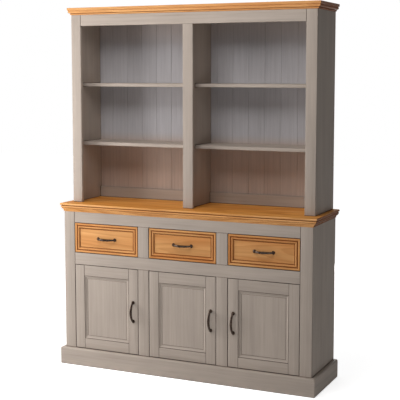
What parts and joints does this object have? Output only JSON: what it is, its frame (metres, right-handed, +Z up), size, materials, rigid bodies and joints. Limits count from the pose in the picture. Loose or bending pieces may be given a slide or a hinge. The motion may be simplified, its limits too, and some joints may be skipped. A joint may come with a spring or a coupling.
{
  "type": "buffet cabinet",
  "caption": "Two-piece dresser: an open hutch with a boarded back and shelves, standing on a base with stepped drawer fronts over panelled doors, a plinth and bow handles.",
  "frame": {"origin": "on the floor, under the middle of the whole outline, handles included", "axes": "+Z up; the doors and drawers face -Y; +X is to the right of someone who faces them"},
  "size_m": [1.5066, 0.4158, 2],
  "materials": {
    "taupe_paint": "brushed taupe-grey paint over visible grain",
    "grey_boards": "grey stained vertical boards",
    "honey_pine": "waxed honey pine",
    "bare_wood": "bare wood",
    "dark_bronze": "dark antique bronze",
    "plated_steel": "nickel plated"
  },
  "bodies": {
    "root": {"hutch_side_left": "taupe_paint", "hutch_side_right": "taupe_paint", "hutch_stile_left": "taupe_paint", "hutch_stile_right": "taupe_paint", "hutch_stile_centre": "taupe_paint", "hutch_divider": "taupe_paint", "hutch_frieze_rail": "taupe_paint", "hutch_top_board": "taupe_paint", "cornice": "honey_pine", "hutch_back_panel": "grey_boards", "hutch_back_rail": "taupe_paint", "hutch_shelf_lower_left": "taupe_paint", "hutch_shelf_lower_right": "taupe_paint", "hutch_shelf_upper_left": "taupe_paint", "hutch_shelf_upper_right": "taupe_paint", "worktop": "honey_pine", "worktop_moulding": "honey_pine", "base_side_left": "taupe_paint", "base_side_right": "taupe_paint", "base_partition_left": "taupe_paint", "base_partition_right": "taupe_paint", "base_bottom_panel": "taupe_paint", "base_back_panel": "grey_boards", "base_top_rail": "taupe_paint", "base_mid_rail": "taupe_paint", "base_stile_left": "taupe_paint", "base_stile_right": "taupe_paint", "drawer_mullion_left": "taupe_paint", "drawer_mullion_right": "taupe_paint", "door_mullion_left": "taupe_paint", "door_mullion_right": "taupe_paint", "plinth": "taupe_paint", "drawer_deck": "bare_wood"},
    "drawer_left": {"drawer_front_left": "honey_pine", "drawer_box_left": "bare_wood", "drawer_bottom_left": "bare_wood", "handle_drawer_left": "dark_bronze"},
    "drawer_middle": {"drawer_front_middle": "honey_pine", "drawer_box_middle": "bare_wood", "drawer_bottom_middle": "bare_wood", "handle_drawer_middle": "dark_bronze"},
    "drawer_right": {"drawer_front_right": "honey_pine", "drawer_box_right": "bare_wood", "drawer_bottom_right": "bare_wood", "handle_drawer_right": "dark_bronze"},
    "door_left": {"door_frame_left": "taupe_paint", "door_panel_left": "taupe_paint", "handle_door_left": "dark_bronze", "door_hinge_left_lower": "plated_steel", "door_hinge_left_upper": "plated_steel"},
    "door_middle": {"door_frame_middle": "taupe_paint", "door_panel_middle": "taupe_paint", "handle_door_middle": "dark_bronze", "door_hinge_middle_lower": "plated_steel", "door_hinge_middle_upper": "plated_steel"},
    "door_right": {"door_frame_right": "taupe_paint", "door_panel_right": "taupe_paint", "handle_door_right": "dark_bronze", "door_hinge_right_lower": "plated_steel", "door_hinge_right_upper": "plated_steel"}
  },
  "joints": [
    {"name": "drawer_left_slide", "type": "slide", "parent": "root", "child": "drawer_left", "axis": [0, -1, 0], "range_m": [0, 0.26]},
    {"name": "drawer_middle_slide", "type": "slide", "parent": "root", "child": "drawer_middle", "axis": [0, -1, 0], "range_m": [0, 0.26]},
    {"name": "drawer_right_slide", "type": "slide", "parent": "root", "child": "drawer_right", "axis": [0, -1, 0], "range_m": [0, 0.26]},
    {"name": "door_left_swing", "type": "hinge", "parent": "root", "child": "door_left", "pos_m": [-0.663, -0.1736, 0.3356], "axis": [0, 0, -1], "range_deg": [0, 95]},
    {"name": "door_middle_swing", "type": "hinge", "parent": "root", "child": "door_middle", "pos_m": [-0.19833, -0.1736, 0.3356], "axis": [0, 0, -1], "range_deg": [0, 95]},
    {"name": "door_right_swing", "type": "hinge", "parent": "root", "child": "door_right", "pos_m": [0.663, -0.1736, 0.3356], "axis": [0, 0, 1], "range_deg": [0, 95]}
  ]
}
